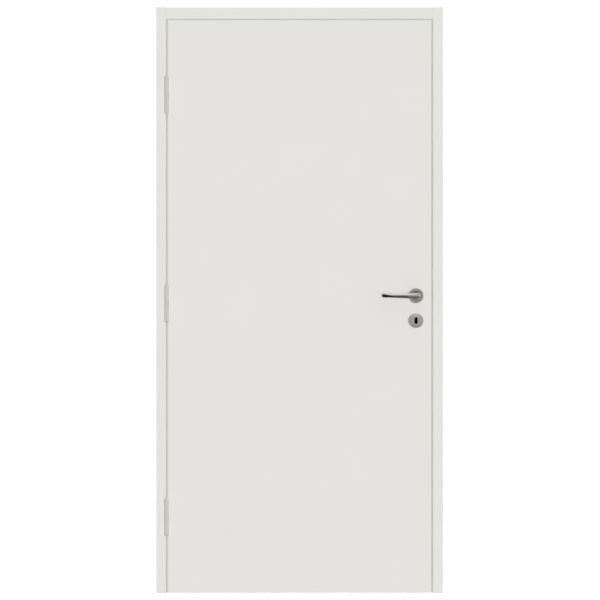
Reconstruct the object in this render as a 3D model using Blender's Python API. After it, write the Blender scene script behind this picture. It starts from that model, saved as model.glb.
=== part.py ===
"""Prehung interior door: a flush leaf, level with the front of its frame, on three lift-off hinges.

Every piece is drawn in doorway coordinates, in metres: x from the middle of the doorway, with the
hinges at -x, y from the middle of the frame's depth, with the front at -y, and z up from the floor.
The empties at the end of this file carry the pieces. The frame's own empty puts the world's origin
on the hinge jamb's wall side, at the datum height above the floor.
"""

import math

import bmesh
import bpy
from mathutils import Vector

# Leaf
LEAF_WIDTH = 0.930
LEAF_HEIGHT = 2.021
LEAF_THICKNESS = 0.040
SKIN_THICKNESS = 0.003
STILE_WIDTH = 0.038
TOP_RAIL_WIDTH = 0.045
BOTTOM_RAIL_WIDTH = 0.075
LOCK_BLOCK_SIDE_MARGIN = 0.027
LOCK_BLOCK_END_MARGIN = 0.105
LEAF_ARRIS = 0.001

# Gaps round the leaf, and between pieces that touch
SIDE_GAP = 0.0065
HEAD_GAP = 0.005
FLOOR_GAP = 0.003
STOP_GAP = 0.006
TOUCH = 0.0003

# Frame
FRAME_DEPTH = 0.100
JAMB_THICKNESS = 0.035
HEAD_THICKNESS = 0.040
OUTER_ARRIS = 0.003
INNER_ARRIS = 0.0015
STOP_THICKNESS = 0.018
STOP_WIDTH = 0.034
STOP_ARRIS = 0.003
DATUM_HEIGHT = 1.000

# Seal strip, pressed into a groove in the stop
SEAL_WIDTH = 0.007
SEAL_CLEARANCE = 0.001
SEAL_SETBACK = 0.006
SEAL_STEM_WIDTH = 0.003
SEAL_STEM_DEPTH = 0.005

# Hinges
BOTTOM_HINGE_RISE = 0.271
TOP_HINGE_DROP = 0.266
MIDDLE_HINGE_RISE = 0.008
KNUCKLE_RADIUS = 0.008
KNUCKLE_LENGTH = 0.059
KNUCKLE_STANDOFF = 0.0005
FINIAL_HEIGHT = 0.009
WASHER_THICKNESS = 0.001
WASHER_RADIUS = 0.0078
PIN_RADIUS = 0.004
PIN_LENGTH = 0.042
PIN_CLEARANCE = 0.0003
PLATE_THICKNESS = 0.0025
PLATE_DEPTH = 0.028
PLATE_CORNER = 0.008
PLATE_SEAT = 0.0035
SCREW_RADIUS = 0.0024
SCREW_HEAD_RADIUS = 0.0044
SCREW_NEAR_EDGE = 0.009
SCREW_FAR_EDGE = 0.020
SCREW_END_DISTANCE = 0.013
SCREW_SPACING = 0.032

# Lock
BACKSET = 0.055
LEVER_HEIGHT = 1.051
KEY_BELOW_LEVER = 0.088
FOREND_WIDTH = 0.020
FOREND_OVERHANG = 0.0325
FOREND_THICKNESS = 0.003
CASE_DEPTH = 0.085
CASE_WALL = 0.0015
CASE_ABOVE_LEVER = 0.040
CASE_BELOW_KEY = 0.042
CASE_CORNER = 0.004
BOLT_THICKNESS = 0.012
LATCH_HEIGHT = 0.030
LATCH_LENGTH = 0.032
LATCH_BEVEL = 0.010
LATCH_NOSE = 0.002
DEAD_BOLT_HEIGHT = 0.036
DEAD_BOLT_LENGTH = 0.034
DEAD_BOLT_ABOVE_KEY = 0.024
FOLLOWER_RADIUS = 0.0085
SPINDLE_SIZE = 0.008
SPINDLE_REACH = 0.018
SPINDLE_HOLE_RADIUS = 0.010

# Strike plate in the latch jamb
STRIKE_WIDTH = 0.024
STRIKE_END_MARGIN = 0.0365
STRIKE_THICKNESS = 0.002
STRIKE_CORNER = 0.004
STRIKE_LIP_MARGIN = 0.010
STRIKE_LIP_SETBACK = 0.0025
STRIKE_PLAY = 0.001
MORTISE_DEPTH = 0.018

# Roses and lever handles
ROSE_RADIUS = 0.0265
ROSE_RIM = 0.005
ROSE_THICKNESS = 0.0085
ROSE_FLAT_RADIUS = 0.0165
ROSE_EASING = 0.001
KEYHOLE_WIDTH = 0.0095
KEYHOLE_HEIGHT = 0.022
NECK_RADIUS = 0.0105
NECK_CLEARANCE = 0.0004
GRIP_OUT = 0.050
GRIP_LENGTH = 0.124
GRIP_END_RADIUS = 0.0068
GRIP_TAPER = 0.85
ELBOW_RADIUS = 0.0145
RETURN_RADIUS = 0.0125
RETURN_LENGTH = 0.006
TIP_EASING = 0.002

# How finely round shapes are cut into flats
CORNER_STEPS = 4
BEND_STEPS = 8
HOLE_FLATS = 28
KNUCKLE_FLATS = 28
ROSE_FLATS = 40
GRIP_FLATS = 24
SCREW_HOLE_FLATS = 14
DOME_STEPS = 5
EASING_STEPS = 3
SHARP_EDGE_DEGREES = 32

# Faces, worked out from the sizes
FRAME_FRONT = -FRAME_DEPTH / 2
FRAME_BACK = FRAME_DEPTH / 2
LEAF_FRONT = FRAME_FRONT
LEAF_BACK = LEAF_FRONT + LEAF_THICKNESS
LEAF_MIDDLE = (LEAF_FRONT + LEAF_BACK) / 2
LEAF_EDGE = LEAF_WIDTH / 2
LEAF_BOTTOM = FLOOR_GAP
LEAF_TOP = LEAF_BOTTOM + LEAF_HEIGHT
CORE_FRONT = LEAF_FRONT + SKIN_THICKNESS + TOUCH
CORE_BACK = LEAF_BACK - SKIN_THICKNESS - TOUCH
STILE_INSIDE = LEAF_EDGE - STILE_WIDTH
CORE_EDGE = STILE_INSIDE - TOUCH
CORE_BOTTOM = LEAF_BOTTOM + BOTTOM_RAIL_WIDTH + TOUCH
CORE_TOP = LEAF_TOP - TOP_RAIL_WIDTH - TOUCH
JAMB_FACE = LEAF_EDGE + SIDE_GAP
JAMB_OUTSIDE = JAMB_FACE + JAMB_THICKNESS
HEAD_FACE = LEAF_TOP + HEAD_GAP
FRAME_TOP = HEAD_FACE + HEAD_THICKNESS
STOP_FRONT = LEAF_BACK + STOP_GAP
STOP_BACK = STOP_FRONT + STOP_WIDTH
HINGE_X = -(LEAF_EDGE + SIDE_GAP / 2)
HINGE_Y = LEAF_FRONT - KNUCKLE_RADIUS - KNUCKLE_STANDOFF
FACE_FROM_HINGE = LEAF_FRONT - HINGE_Y
BOTTOM_HINGE_Z = LEAF_BOTTOM + BOTTOM_HINGE_RISE
TOP_HINGE_Z = LEAF_TOP - TOP_HINGE_DROP
MIDDLE_HINGE_Z = (BOTTOM_HINGE_Z + TOP_HINGE_Z) / 2 + MIDDLE_HINGE_RISE
HINGE_PLACES = {"bottom": BOTTOM_HINGE_Z, "middle": MIDDLE_HINGE_Z, "top": TOP_HINGE_Z}
LOCK_X = LEAF_EDGE - BACKSET
KEY_HEIGHT = LEVER_HEIGHT - KEY_BELOW_LEVER
CASE_THICKNESS = BOLT_THICKNESS + 2 * CASE_WALL
CASE_FRONT = LEAF_EDGE - FOREND_THICKNESS - 2 * TOUCH
CASE_INSIDE = CASE_FRONT - CASE_DEPTH
CASE_TOP = LEVER_HEIGHT + CASE_ABOVE_LEVER
CASE_BOTTOM = KEY_HEIGHT - CASE_BELOW_KEY
CASE_MIDDLE = (CASE_TOP + CASE_BOTTOM) / 2
FOREND_HEIGHT = CASE_TOP - CASE_BOTTOM + 2 * FOREND_OVERHANG
LOCK_BLOCK_SIDE = CASE_INSIDE - LOCK_BLOCK_SIDE_MARGIN
LOCK_BLOCK_TOP = CASE_TOP + LOCK_BLOCK_END_MARGIN
LOCK_BLOCK_BOTTOM = CASE_BOTTOM - LOCK_BLOCK_END_MARGIN
DEAD_BOLT_Z = KEY_HEIGHT + DEAD_BOLT_ABOVE_KEY
STRIKE_TOP = LEVER_HEIGHT + LATCH_HEIGHT / 2 + STRIKE_END_MARGIN
STRIKE_BOTTOM = DEAD_BOLT_Z - DEAD_BOLT_HEIGHT / 2 - STRIKE_END_MARGIN
NECK_START = 2 * TOUCH
DEPTH_AXES = {"X": (1, 2, 0), "Y": (0, 2, 1), "Z": (0, 1, 2)}


def arc(centre, radius, start, end, steps=CORNER_STEPS):
    """Points on an arc, with its angles in degrees and both ends included."""
    angles = [math.radians(start + (end - start) * i / steps) for i in range(steps + 1)]
    return [(centre[0] + radius * math.cos(a), centre[1] + radius * math.sin(a)) for a in angles]


def rounded_outline(low, high, radii):
    """A rectangle whose corner radii run anticlockwise from its low corner. A radius of 0 is square."""
    corners = (
        (low[0], low[1], 1, 1, 180),
        (high[0], low[1], -1, 1, 270),
        (high[0], high[1], -1, -1, 0),
        (low[0], high[1], 1, -1, 90),
    )
    outline = []
    for (x, y, inward_x, inward_y, start), radius in zip(corners, radii):
        if radius:
            centre = (x + inward_x * radius, y + inward_y * radius)
            outline += arc(centre, radius, start, start + 90)
        else:
            outline.append((x, y))
    return outline


def slot_outline(centre, width, height):
    """An upright slot with round ends."""
    radius = width / 2
    rise = height / 2 - radius
    top = arc((centre[0], centre[1] + rise), radius, 0, 180, BEND_STEPS)
    return top + arc((centre[0], centre[1] - rise), radius, 180, 360, BEND_STEPS)


def circle_outline(centre, radius, flats):
    """A circle as an outline of so many flats."""
    return arc(centre, radius, 0, 360, flats)[:-1]


def extruded(outline, axis, start, end):
    """A solid made by drawing an outline across one axis and running it along that axis."""
    across, up, along = DEPTH_AXES[axis]
    solid = bmesh.new()
    corners = []
    for first, second in outline:
        point = Vector()
        point[across] = first
        point[up] = second
        point[along] = start
        corners.append(solid.verts.new(point))
    face = solid.faces.new(corners)
    far = bmesh.ops.extrude_face_region(solid, geom=[face])["geom"]
    shift = Vector()
    shift[along] = end - start
    bmesh.ops.translate(solid, vec=shift, verts=[v for v in far if isinstance(v, bmesh.types.BMVert)])
    bmesh.ops.recalc_face_normals(solid, faces=solid.faces[:])
    return solid


def block(low, high):
    """A square-edged block between two corners."""
    outline = rounded_outline((low[0], low[1]), (high[0], high[1]), (0, 0, 0, 0))
    return extruded(outline, "Z", low[2], high[2])


def turned(profile, steps):
    """A solid turned about z from (radius, height) points. An open profile has both ends on the axis."""
    solid = bmesh.new()
    points = [solid.verts.new((radius, 0, height)) for radius, height in profile]
    edges = [solid.edges.new(pair) for pair in zip(points, points[1:])]
    if profile[0][0] > 0:
        edges.append(solid.edges.new((points[-1], points[0])))
    bmesh.ops.spin(
        solid,
        geom=points + edges,
        cent=(0, 0, 0),
        axis=(0, 0, 1),
        angle=2 * math.pi,
        steps=steps,
    )
    bmesh.ops.remove_doubles(solid, verts=solid.verts[:], dist=1e-6)
    bmesh.ops.recalc_face_normals(solid, faces=solid.faces[:])
    return solid


def lofted(rings):
    """A solid skinned over rings of points, closed by a flat face at each end."""
    solid = bmesh.new()
    loops = [[solid.verts.new(point) for point in ring] for ring in rings]
    for near, far in zip(loops, loops[1:]):
        for i in range(len(near)):
            solid.faces.new((near[i - 1], near[i], far[i], far[i - 1]))
    solid.faces.new(loops[0])
    solid.faces.new(loops[-1])
    bmesh.ops.recalc_face_normals(solid, faces=solid.faces[:])
    return solid


def mitred(solid, point, outward):
    """Cuts a solid's end off square to a direction, through a point, and closes the cut."""
    geometry = solid.verts[:] + solid.edges[:] + solid.faces[:]
    bmesh.ops.bisect_plane(
        solid,
        geom=geometry,
        plane_co=point,
        plane_no=outward,
        clear_outer=True,
    )
    bmesh.ops.holes_fill(solid, edges=[e for e in solid.edges if e.is_boundary])
    bmesh.ops.recalc_face_normals(solid, faces=solid.faces[:])
    return solid


def object_of(name, solid):
    """A new object that holds a solid's mesh."""
    mesh = bpy.data.meshes.new(name)
    solid.to_mesh(mesh)
    solid.free()
    made = bpy.data.objects.new(name, mesh)
    bpy.context.scene.collection.objects.link(made)
    return made


def combined(base, tools, operation):
    """The base with every tool cut from it (DIFFERENCE) or joined to it (UNION)."""
    made = object_of("base", base)
    helpers = [object_of("tool", tool) for tool in tools]
    for helper in helpers:
        boolean = made.modifiers.new("boolean", "BOOLEAN")
        boolean.operation = operation
        boolean.solver = "EXACT"
        boolean.object = helper
    bpy.context.view_layer.update()
    shaped = made.evaluated_get(bpy.context.evaluated_depsgraph_get())
    result = bmesh.new()
    result.from_mesh(shaped.to_mesh())
    shaped.to_mesh_clear()
    for spent in [made] + helpers:
        bpy.data.objects.remove(spent)
    bmesh.ops.remove_doubles(result, verts=result.verts[:], dist=1e-6)
    return result


def cut(base, *tools):
    return combined(base, tools, "DIFFERENCE")


def joined(base, *tools):
    return combined(base, tools, "UNION")


def paint(name, colour, roughness, metallic=0.0):
    """A plain material for one kind of surface."""
    made = bpy.data.materials.new(name)
    made.use_nodes = True
    surface = made.node_tree.nodes["Principled BSDF"]
    surface.inputs["Base Color"].default_value = (*colour, 1.0)
    surface.inputs["Roughness"].default_value = roughness
    surface.inputs["Metallic"].default_value = metallic
    made.diffuse_color = (*colour, 1.0)
    return made


def carrier(name, location, parent=None):
    """An empty that carries pieces. Its location is in doorway coordinates."""
    made = bpy.data.objects.new(name, None)
    bpy.context.scene.collection.objects.link(made)
    made.location = location
    if parent:
        made.parent = parent
        made.location = Vector(location) - Vector(parent["doorway_point"])
    made["doorway_point"] = location
    return made


def piece(name, solid, material, carried_by, location=(0, 0, 0), turn=0.0):
    """A finished piece on its carrier. Turn is about x, in degrees."""
    made = object_of(name, solid)
    made.data.materials.append(material)
    made.data.shade_smooth()
    made.data.set_sharp_from_angle(angle=math.radians(SHARP_EDGE_DEGREES))
    made.parent = carried_by
    made.location = Vector(location) - Vector(carried_by["doorway_point"])
    made.rotation_euler = (math.radians(turn), 0, 0)
    return made


def hinge_plate(side, lifted):
    """One hinge plate beside the pin's axis, on the side given, with its screw holes.

    The half of the plate beside its own knuckle reaches forward into that knuckle. The other half
    stops at the door's face, clear of the other plate's knuckle.
    """
    near = side * SIDE_GAP / 2
    far = side * (SIDE_GAP / 2 + PLATE_THICKNESS)
    back = FACE_FROM_HINGE + PLATE_DEPTH
    seat = KNUCKLE_RADIUS - PLATE_SEAT
    step = WASHER_THICKNESS / 2 + TOUCH
    outline = (
        [(FACE_FROM_HINGE, -KNUCKLE_LENGTH)]
        + arc((back - PLATE_CORNER, PLATE_CORNER - KNUCKLE_LENGTH), PLATE_CORNER, 270, 360)
        + arc((back - PLATE_CORNER, KNUCKLE_LENGTH - PLATE_CORNER), PLATE_CORNER, 0, 90)
        + [(seat, KNUCKLE_LENGTH), (seat, step), (FACE_FROM_HINGE, step)]
    )
    if not lifted:
        outline = [(y, -z) for y, z in outline]
    plate = extruded(outline, "X", near, far)
    holes = []
    for end in (-1, 1):
        for edge, distance in ((SCREW_FAR_EDGE, 0.0), (SCREW_NEAR_EDGE, SCREW_SPACING)):
            y = FACE_FROM_HINGE + edge
            z = end * (KNUCKLE_LENGTH - SCREW_END_DISTANCE - distance)
            holes.append(screw_hole(near, far, y, z))
    return cut(plate, *holes)


def screw_hole(near, far, y, z):
    """A countersunk hole, widest at the plate's near face, that runs out past both faces."""
    way = 1 if far > near else -1
    sink = SCREW_HEAD_RADIUS - SCREW_RADIUS
    stations = (
        (near - way * TOUCH, SCREW_HEAD_RADIUS + TOUCH),
        (near + way * sink, SCREW_RADIUS),
        (far + way * TOUCH, SCREW_RADIUS),
    )
    rings = []
    for x, radius in stations:
        rings.append([(x, a, b) for a, b in circle_outline((y, z), radius, SCREW_HOLE_FLATS)])
    return lofted(rings)


def finial(direction):
    """The domed end of a knuckle, from the axis out to the knuckle's side."""
    points = []
    for i in range(DOME_STEPS + 1):
        angle = math.pi / 2 * (1 - i / DOME_STEPS)
        radius = KNUCKLE_RADIUS * math.cos(angle) if i else 0.0
        points.append((radius, direction * (KNUCKLE_LENGTH + FINIAL_HEIGHT * math.sin(angle))))
    return points


def lower_hinge_half():
    """The frame's half: plate, lower knuckle and the pin that stands in it."""
    face = -(WASHER_THICKNESS / 2 + TOUCH)
    ease = PIN_RADIUS / 4
    profile = finial(-1) + [
        (KNUCKLE_RADIUS, face),
        (PIN_RADIUS, face),
        (PIN_RADIUS, PIN_LENGTH - ease),
        (PIN_RADIUS - ease, PIN_LENGTH),
        (0.0, PIN_LENGTH),
    ]
    return joined(turned(profile, KNUCKLE_FLATS), hinge_plate(-1, lifted=False))


def upper_hinge_half():
    """The leaf's half: plate and upper knuckle, which is bored to drop over the pin."""
    face = WASHER_THICKNESS / 2 + TOUCH
    bore = PIN_RADIUS + PIN_CLEARANCE
    profile = finial(1) + [
        (KNUCKLE_RADIUS, face),
        (bore, face),
        (bore, PIN_LENGTH + PIN_CLEARANCE),
        (0.0, PIN_LENGTH + PIN_CLEARANCE),
    ]
    return joined(turned(profile, KNUCKLE_FLATS), hinge_plate(1, lifted=True))


def hinge_washer():
    """The ring that the leaf's half rides on."""
    bore = PIN_RADIUS + PIN_CLEARANCE
    low = -WASHER_THICKNESS / 2
    high = WASHER_THICKNESS / 2
    profile = ((bore, low), (WASHER_RADIUS, low), (WASHER_RADIUS, high), (bore, high))
    return turned(profile, KNUCKLE_FLATS)


def hinge_pockets(side):
    """The three pockets that the plates lie in, in the leaf's edge (1) or in the jamb (-1)."""
    mouth = HINGE_X + side * (SIDE_GAP / 2 - TOUCH)
    floor = HINGE_X + side * (SIDE_GAP / 2 + PLATE_THICKNESS + TOUCH)
    front = LEAF_FRONT - KNUCKLE_RADIUS
    back = LEAF_FRONT + PLATE_DEPTH + TOUCH
    reach = KNUCKLE_LENGTH + TOUCH
    corner = PLATE_CORNER + TOUCH
    pockets = []
    for height in HINGE_PLACES.values():
        outline = rounded_outline(
            (front, height - reach), (back, height + reach), (0, corner, corner, 0)
        )
        pockets.append(extruded(outline, "X", mouth, floor))
    return pockets


def jamb(side):
    """An upright of the frame. Side is -1 for the hinges and 1 for the latch."""
    low = (-JAMB_OUTSIDE, FRAME_FRONT) if side < 0 else (JAMB_FACE, FRAME_FRONT)
    high = (-JAMB_FACE, FRAME_BACK) if side < 0 else (JAMB_OUTSIDE, FRAME_BACK)
    if side < 0:
        radii = (OUTER_ARRIS, INNER_ARRIS, INNER_ARRIS, OUTER_ARRIS)
    else:
        radii = (INNER_ARRIS, OUTER_ARRIS, OUTER_ARRIS, INNER_ARRIS)
    return extruded(rounded_outline(low, high, radii), "Z", 0.0, FRAME_TOP)


def head():
    """The head, which butts between the jambs."""
    outline = rounded_outline(
        (FRAME_FRONT, HEAD_FACE),
        (FRAME_BACK, FRAME_TOP),
        (INNER_ARRIS, INNER_ARRIS, OUTER_ARRIS, OUTER_ARRIS),
    )
    return extruded(outline, "X", -JAMB_FACE + TOUCH, JAMB_FACE - TOUCH)


def stop_section():
    """The stop's section as (distance from the jamb, y), with the groove for the seal in its front."""
    groove = STOP_THICKNESS - SEAL_SETBACK
    half = SEAL_STEM_WIDTH / 2 + TOUCH
    depth = STOP_FRONT + SEAL_STEM_DEPTH + TOUCH
    return [
        (TOUCH, STOP_FRONT),
        (groove - half, STOP_FRONT),
        (groove - half, depth),
        (groove + half, depth),
        (groove + half, STOP_FRONT),
        (STOP_THICKNESS, STOP_FRONT),
    ] + arc((STOP_THICKNESS - STOP_ARRIS, STOP_BACK - STOP_ARRIS), STOP_ARRIS, 0, 90) + [(TOUCH, STOP_BACK)]


def seal_section():
    """The seal's section as (distance from the jamb, y): a stem in the groove and a round bulb."""
    middle = STOP_THICKNESS - SEAL_SETBACK
    foot = STOP_FRONT - TOUCH
    rise = foot - (LEAF_BACK + SEAL_CLEARANCE)
    bulb = []
    for i in range(BEND_STEPS + 1):
        angle = math.pi * i / BEND_STEPS
        away = middle + SEAL_WIDTH / 2 * math.cos(angle)
        bulb.append((away, foot - rise * math.sin(angle)))
    stem = SEAL_STEM_WIDTH / 2
    deep = STOP_FRONT + SEAL_STEM_DEPTH
    return bulb + [
        (middle - stem, foot),
        (middle - stem, deep),
        (middle + stem, deep),
        (middle + stem, foot),
    ]


def upright_trim(section, side):
    """A stop or seal up one jamb, mitred at the head."""
    outline = [(side * (JAMB_FACE - away), y) for away, y in section]
    bar = extruded(outline, "Z", 0.0, HEAD_FACE)
    corner = (side * JAMB_FACE, 0, HEAD_FACE - TOUCH)
    return mitred(bar, corner, (-side, 0, 1))


def head_trim(section):
    """A stop or seal under the head, mitred at both ends."""
    outline = [(y, HEAD_FACE - away) for away, y in section]
    bar = extruded(outline, "X", -JAMB_FACE, JAMB_FACE)
    for side in (-1, 1):
        corner = (side * (JAMB_FACE - TOUCH), 0, HEAD_FACE)
        bar = mitred(bar, corner, (side, 0, -1))
    return bar


def leaf_board(low_x, high_x, low_z, high_z):
    """A board of the leaf's inside, between the skins."""
    return block((low_x, CORE_FRONT, low_z), (high_x, CORE_BACK, high_z))


def skin(outer, inner):
    """A face panel of the leaf, with its outer edges eased."""
    low_y = min(outer, inner)
    high_y = max(outer, inner)
    panel = block((-LEAF_EDGE, low_y, LEAF_BOTTOM), (LEAF_EDGE, high_y, LEAF_TOP))
    rim = [e for e in panel.edges if all(abs(v.co.y - outer) < 1e-6 for v in e.verts)]
    bmesh.ops.bevel(panel, geom=rim, offset=LEAF_ARRIS, segments=2, profile=0.5, affect="EDGES")
    return panel


def round_hole(radius, x, z, low_y, high_y):
    """A round hole from front to back."""
    return extruded(circle_outline((x, z), radius, HOLE_FLATS), "Y", low_y, high_y)


def keyhole(spare, low_y, high_y):
    """The key's slot from front to back, wider by the spare."""
    outline = slot_outline((LOCK_X, KEY_HEIGHT), KEYHOLE_WIDTH + spare, KEYHOLE_HEIGHT + spare)
    return extruded(outline, "Y", low_y, high_y)


def lock_holes():
    """The holes for the spindle and the key, right through the leaf."""
    front = LEAF_FRONT - SKIN_THICKNESS
    back = LEAF_BACK + SKIN_THICKNESS
    return [
        round_hole(SPINDLE_HOLE_RADIUS, LOCK_X, LEVER_HEIGHT, front, back),
        keyhole(2 * TOUCH, front, back),
    ]


def case_pocket():
    """The pocket for the lock case, and the shallow seat for its forend."""
    low_y = LEAF_MIDDLE - CASE_THICKNESS / 2 - TOUCH
    high_y = LEAF_MIDDLE + CASE_THICKNESS / 2 + TOUCH
    pocket = block(
        (CASE_INSIDE - TOUCH, low_y, CASE_BOTTOM - TOUCH),
        (LEAF_EDGE + SIDE_GAP / 2, high_y, CASE_TOP + TOUCH),
    )
    seat = extruded(
        forend_outline(TOUCH), "X", LEAF_EDGE - FOREND_THICKNESS - TOUCH, LEAF_EDGE + SIDE_GAP / 2
    )
    return joined(pocket, seat)


def forend_outline(spare=0.0):
    """The forend's outline as (y, z), wider by the spare all round."""
    outline_width = FOREND_WIDTH + 2 * spare
    outline_height = FOREND_HEIGHT + 2 * spare
    return slot_outline((LEAF_MIDDLE, CASE_MIDDLE), outline_width, outline_height)


def bolt_block(low_x, high_x, height, middle_z, spare):
    """A block round one bolt, larger by the spare across the bolt."""
    half_y = BOLT_THICKNESS / 2 + spare
    half_z = height / 2 + spare
    return block(
        (low_x, LEAF_MIDDLE - half_y, middle_z - half_z),
        (high_x, LEAF_MIDDLE + half_y, middle_z + half_z),
    )


def lock_forend():
    """The plate in the leaf's edge, with a window for each bolt."""
    low_x = LEAF_EDGE - FOREND_THICKNESS
    plate = extruded(forend_outline(), "X", low_x, LEAF_EDGE)
    through = (low_x - TOUCH, LEAF_EDGE + TOUCH)
    return cut(
        plate,
        bolt_block(*through, LATCH_HEIGHT, LEVER_HEIGHT, TOUCH),
        bolt_block(*through, DEAD_BOLT_HEIGHT, DEAD_BOLT_Z, TOUCH),
    )


def lock_case():
    """The closed case, open for its bolts, the follower and the key."""
    low_y = LEAF_MIDDLE - CASE_THICKNESS / 2
    high_y = LEAF_MIDDLE + CASE_THICKNESS / 2
    outline = rounded_outline(
        (CASE_INSIDE, CASE_BOTTOM),
        (CASE_FRONT, CASE_TOP),
        (CASE_CORNER, 0, 0, CASE_CORNER),
    )
    body = extruded(outline, "Y", low_y, high_y)
    latch_back = LEAF_EDGE - LATCH_LENGTH - TOUCH
    dead_bolt_back = LEAF_EDGE - DEAD_BOLT_LENGTH - TOUCH
    return cut(
        body,
        bolt_block(latch_back, LEAF_EDGE, LATCH_HEIGHT, LEVER_HEIGHT, TOUCH),
        bolt_block(dead_bolt_back, LEAF_EDGE, DEAD_BOLT_HEIGHT, DEAD_BOLT_Z, TOUCH),
        round_hole(FOLLOWER_RADIUS + TOUCH, LOCK_X, LEVER_HEIGHT, low_y - TOUCH, high_y + TOUCH),
        keyhole(0.0, low_y - TOUCH, high_y + TOUCH),
    )


def latch_bolt():
    """The sprung bolt, drawn back so that the tip of its bevel is level with the forend."""
    low_y = LEAF_MIDDLE - BOLT_THICKNESS / 2
    high_y = LEAF_MIDDLE + BOLT_THICKNESS / 2
    back = LEAF_EDGE - LATCH_LENGTH
    outline = [
        (back, low_y),
        (LEAF_EDGE, low_y),
        (LEAF_EDGE, low_y + LATCH_NOSE),
        (LEAF_EDGE - LATCH_BEVEL, high_y),
        (back, high_y),
    ]
    half = LATCH_HEIGHT / 2
    return extruded(outline, "Z", LEVER_HEIGHT - half, LEVER_HEIGHT + half)


def dead_bolt():
    """The square bolt that the key throws, drawn back level with the forend."""
    bolt = bolt_block(LEAF_EDGE - DEAD_BOLT_LENGTH, LEAF_EDGE, DEAD_BOLT_HEIGHT, DEAD_BOLT_Z, 0.0)
    nose = [e for e in bolt.edges if all(abs(v.co.x - LEAF_EDGE) < 1e-6 for v in e.verts)]
    bmesh.ops.bevel(bolt, geom=nose, offset=LEAF_ARRIS, segments=1, profile=0.5, affect="EDGES")
    return bolt


def spindle_bar(spare, low_y, high_y):
    """The square bar that turns with the levers, or the hole for it."""
    half = SPINDLE_SIZE / 2 + spare
    return block((LOCK_X - half, low_y, LEVER_HEIGHT - half), (LOCK_X + half, high_y, LEVER_HEIGHT + half))


def lock_follower():
    """The ring in the case that the spindle turns."""
    low_y = LEAF_MIDDLE - CASE_THICKNESS / 2
    high_y = LEAF_MIDDLE + CASE_THICKNESS / 2
    ring = round_hole(FOLLOWER_RADIUS, LOCK_X, LEVER_HEIGHT, low_y, high_y)
    return cut(ring, spindle_bar(TOUCH, low_y - TOUCH, high_y + TOUCH))


def strike_outline(spare=0.0):
    """The strike plate's outline as (y, z), with its lip towards the front."""
    low_y = LEAF_MIDDLE - STRIKE_WIDTH / 2 - spare
    high_y = LEAF_MIDDLE + STRIKE_WIDTH / 2 + spare
    low_z = STRIKE_BOTTOM - spare
    high_z = STRIKE_TOP + spare
    corner = STRIKE_CORNER + spare
    lip_y = FRAME_FRONT + STRIKE_LIP_SETBACK - spare
    lip_reach = LATCH_HEIGHT / 2 + STRIKE_LIP_MARGIN + spare
    lip_low = LEVER_HEIGHT - lip_reach
    lip_high = LEVER_HEIGHT + lip_reach
    body = rounded_outline((low_y, low_z), (high_y, high_z), (corner, corner, corner, corner))
    lip = (
        [(low_y, lip_high)]
        + arc((lip_y + corner, lip_high - corner), corner, 90, 180)
        + arc((lip_y + corner, lip_low + corner), corner, 180, 270)
        + [(low_y, lip_low)]
    )
    return body + lip


def strike_holes(low_x, high_x):
    """The holes that the latch and the dead bolt go into."""
    return [
        bolt_block(low_x, high_x, LATCH_HEIGHT, LEVER_HEIGHT, STRIKE_PLAY),
        bolt_block(low_x, high_x, DEAD_BOLT_HEIGHT, DEAD_BOLT_Z, STRIKE_PLAY),
    ]


def strike_plate():
    """The plate that the bolts engage, let into the latch jamb."""
    back = JAMB_FACE + STRIKE_THICKNESS
    plate = extruded(strike_outline(), "X", JAMB_FACE, back)
    return cut(plate, *strike_holes(JAMB_FACE - TOUCH, back + TOUCH))


def strike_recess():
    """What the latch jamb loses to the strike plate and the bolts."""
    seat = extruded(
        strike_outline(TOUCH), "X", JAMB_FACE - SIDE_GAP / 2, JAMB_FACE + STRIKE_THICKNESS + TOUCH
    )
    return [seat] + strike_holes(JAMB_FACE, JAMB_FACE + MORTISE_DEPTH)


def rose_profile(bore):
    """A rose's section as (radius, height above the leaf): a rim, a cone and a flat round the hole."""
    top = ROSE_THICKNESS
    centre = (ROSE_RADIUS - ROSE_EASING, ROSE_RIM - ROSE_EASING)
    cone_slope = math.atan2(top - ROSE_RIM, ROSE_RADIUS - ROSE_FLAT_RADIUS)
    rim = arc(centre, ROSE_EASING, 0, 90 - math.degrees(cone_slope), EASING_STEPS)
    return [(bore, TOUCH), (ROSE_RADIUS, TOUCH)] + rim + [(ROSE_FLAT_RADIUS, top), (bore, top)]


def lever_rose():
    """The rose that the lever's neck turns in."""
    return turned(rose_profile(NECK_RADIUS + NECK_CLEARANCE), ROSE_FLATS)


def key_rose():
    """The rose round the keyhole."""
    profile = [(0.0, TOUCH)] + rose_profile(0.0)[1:]
    outline = slot_outline((0, 0), KEYHOLE_WIDTH, KEYHOLE_HEIGHT)
    return cut(turned(profile, ROSE_FLATS), extruded(outline, "Z", 0, ROSE_THICKNESS + TOUCH))


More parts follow.
